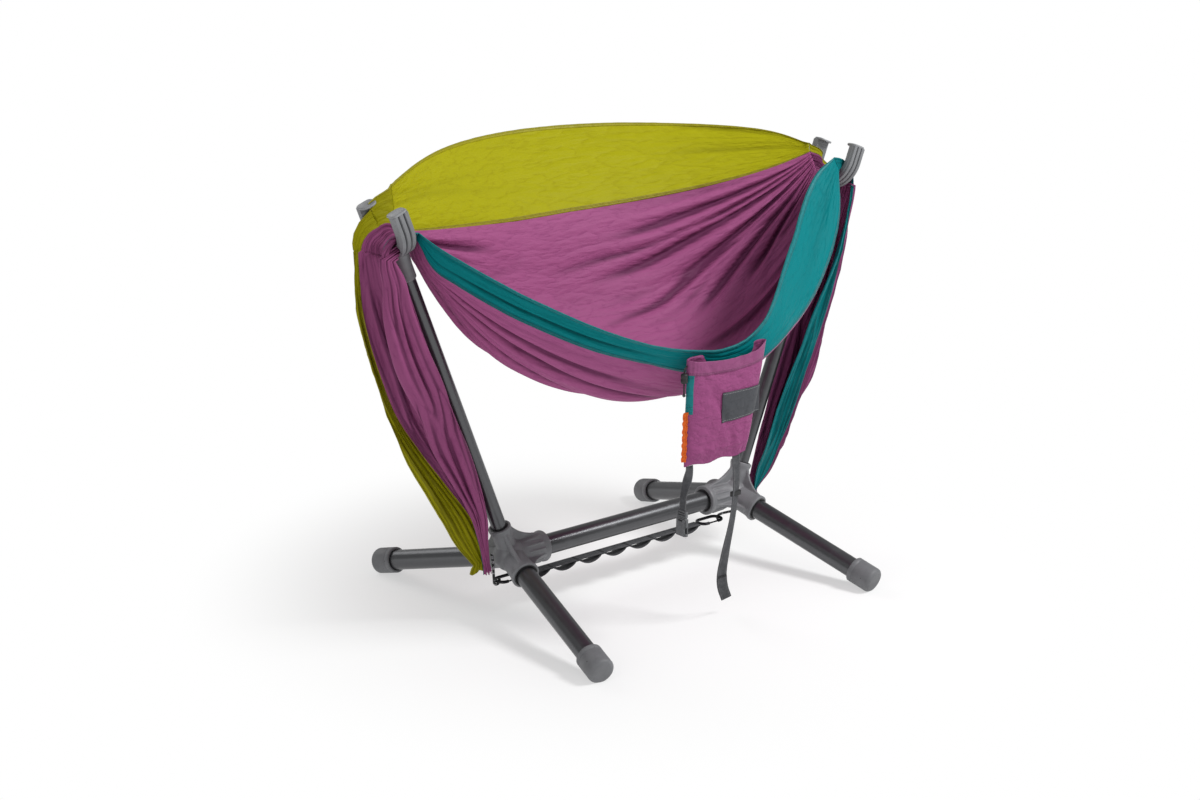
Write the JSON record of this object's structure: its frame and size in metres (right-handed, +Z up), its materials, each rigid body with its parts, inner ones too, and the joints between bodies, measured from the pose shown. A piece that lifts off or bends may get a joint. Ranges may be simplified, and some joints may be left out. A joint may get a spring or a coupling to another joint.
{
  "type": "hammock_with_stand",
  "caption": "Fabric hammock in coloured panels slung between the leaning masts of a low tube stand with splayed feet",
  "frame": {"origin": "on the floor under the middle of the spreader tube, halfway between the two hubs", "axes": "+X along the spreader to the right hub, +Y to the back, away from the pouch, +Z up"},
  "size_m": [1.157, 0.6786, 0.8256],
  "materials": {
    "tube": "anodised satin",
    "moulding": "moulded matte",
    "bush": "matte",
    "rubber": "matte",
    "back_cloth": "crinkled ripstop",
    "centre_cloth": "crinkled ripstop",
    "front_cloth": "crinkled ripstop",
    "webbing": "woven",
    "rope": "braided",
    "carabiner": "coated",
    "buckle": "moulded",
    "label": "woven",
    "piping": "woven"
  },
  "bodies": {
    "stand_base": {"spreader_tube": "tube", "hub_left": "moulding", "socket_bush_left_spreader": "bush", "socket_bush_left_mast": "bush", "socket_bush_left_front": "bush", "socket_bush_left_back": "bush", "end_rope_left": "rope", "carabiner_left": "carabiner", "hub_right": "moulding", "socket_bush_right_spreader": "bush", "socket_bush_right_mast": "bush", "socket_bush_right_front": "bush", "socket_bush_right_back": "bush", "end_rope_right": "rope", "carabiner_right": "carabiner", "strap_band": "webbing", "strap_loop_1": "webbing", "strap_loop_2": "webbing", "strap_loop_3": "webbing", "strap_loop_4": "webbing", "strap_loop_5": "webbing", "strap_loop_6": "webbing", "strap_loop_7": "webbing"},
    "foot_left_front": {"foot_tube_left_front": "tube", "foot_cap_left_front": "rubber"},
    "foot_left_back": {"foot_tube_left_back": "tube", "foot_cap_left_back": "rubber"},
    "mast_left": {"mast_tube_left": "tube", "cradle_left": "moulding", "left_drop_back_panel": "back_cloth", "left_drop_centre_panel": "centre_cloth", "left_drop_front_panel": "front_cloth"},
    "foot_right_front": {"foot_tube_right_front": "tube", "foot_cap_right_front": "rubber"},
    "foot_right_back": {"foot_tube_right_back": "tube", "foot_cap_right_back": "rubber"},
    "mast_right": {"mast_tube_right": "tube", "cradle_right": "moulding", "right_drop_back_panel": "back_cloth", "right_drop_centre_panel": "centre_cloth", "right_drop_front_panel": "front_cloth"},
    "seat": {"seat_back_panel": "back_cloth", "seat_centre_panel": "centre_cloth", "seat_front_panel": "front_cloth"},
    "pouch": {"pouch_shell": "centre_cloth", "label_patch": "label", "pouch_piping": "piping", "drawcord": "rope"},
    "lock": {"cord_lock": "bush"},
    "buckle_strap": {"short_strap": "webbing", "ladder_adjuster": "buckle", "buckle_socket": "buckle"},
    "tail_strap": {"long_strap": "webbing", "strap_keeper": "bush"},
    "gate_left": {"carabiner_gate_left": "carabiner"},
    "gate_right": {"carabiner_gate_right": "carabiner"}
  },
  "joints": [
    {"name": "foot_left_front_pull", "type": "slide", "parent": "stand_base", "child": "foot_left_front", "axis": [-0.1663, -0.9457, -0.2791], "range_m": [0, 0.05]},
    {"name": "foot_left_back_pull", "type": "slide", "parent": "stand_base", "child": "foot_left_back", "axis": [-0.1663, 0.9457, -0.2791], "range_m": [0, 0.05]},
    {"name": "mast_left_lift", "type": "slide", "parent": "stand_base", "child": "mast_left", "axis": [-0.3665, 0, 0.9304], "range_m": [0, 0.05]},
    {"name": "foot_right_front_pull", "type": "slide", "parent": "stand_base", "child": "foot_right_front", "axis": [0.1663, -0.9457, -0.2791], "range_m": [0, 0.05]},
    {"name": "foot_right_back_pull", "type": "slide", "parent": "stand_base", "child": "foot_right_back", "axis": [0.1663, 0.9457, -0.2791], "range_m": [0, 0.05]},
    {"name": "mast_right_lift", "type": "slide", "parent": "stand_base", "child": "mast_right", "axis": [0.3665, 0, 0.9304], "range_m": [0, 0.05]},
    {"name": "seat_swing", "type": "hinge", "parent": "stand_base", "child": "seat", "pos_m": [0, 0, 0.745], "axis": [1, 0, 0], "range_deg": [-10, 5]},
    {"name": "pouch_swing", "type": "hinge", "parent": "seat", "child": "pouch", "pos_m": [-0.01, -0.26221, 0.51199], "axis": [1, 0, 0], "range_deg": [-25, 3]},
    {"name": "cord_lock_slide", "type": "slide", "parent": "pouch", "child": "lock", "axis": [0, 0, -1], "range_m": [-0.002, 0.018]},
    {"name": "buckle_strap_swing", "type": "hinge", "parent": "pouch", "child": "buckle_strap", "pos_m": [-0.092, -0.27421, 0.3215], "axis": [1, 0, 0], "range_deg": [-30, 30]},
    {"name": "tail_strap_swing", "type": "hinge", "parent": "pouch", "child": "tail_strap", "pos_m": [0.02, -0.27421, 0.3215], "axis": [1, 0, 0], "range_deg": [-30, 25]},
    {"name": "carabiner_gate_left_press", "type": "hinge", "parent": "stand_base", "child": "gate_left", "pos_m": [-0.2871, -0.013, 0.074], "axis": [0, 0, 1], "range_deg": [0, 25], "stiffness_Nm_per_rad": 0.02},
    {"name": "carabiner_gate_right_press", "type": "hinge", "parent": "stand_base", "child": "gate_right", "pos_m": [0.2049, -0.013, 0.074], "axis": [0, 0, 1], "range_deg": [0, 25], "stiffness_Nm_per_rad": 0.02}
  ]
}
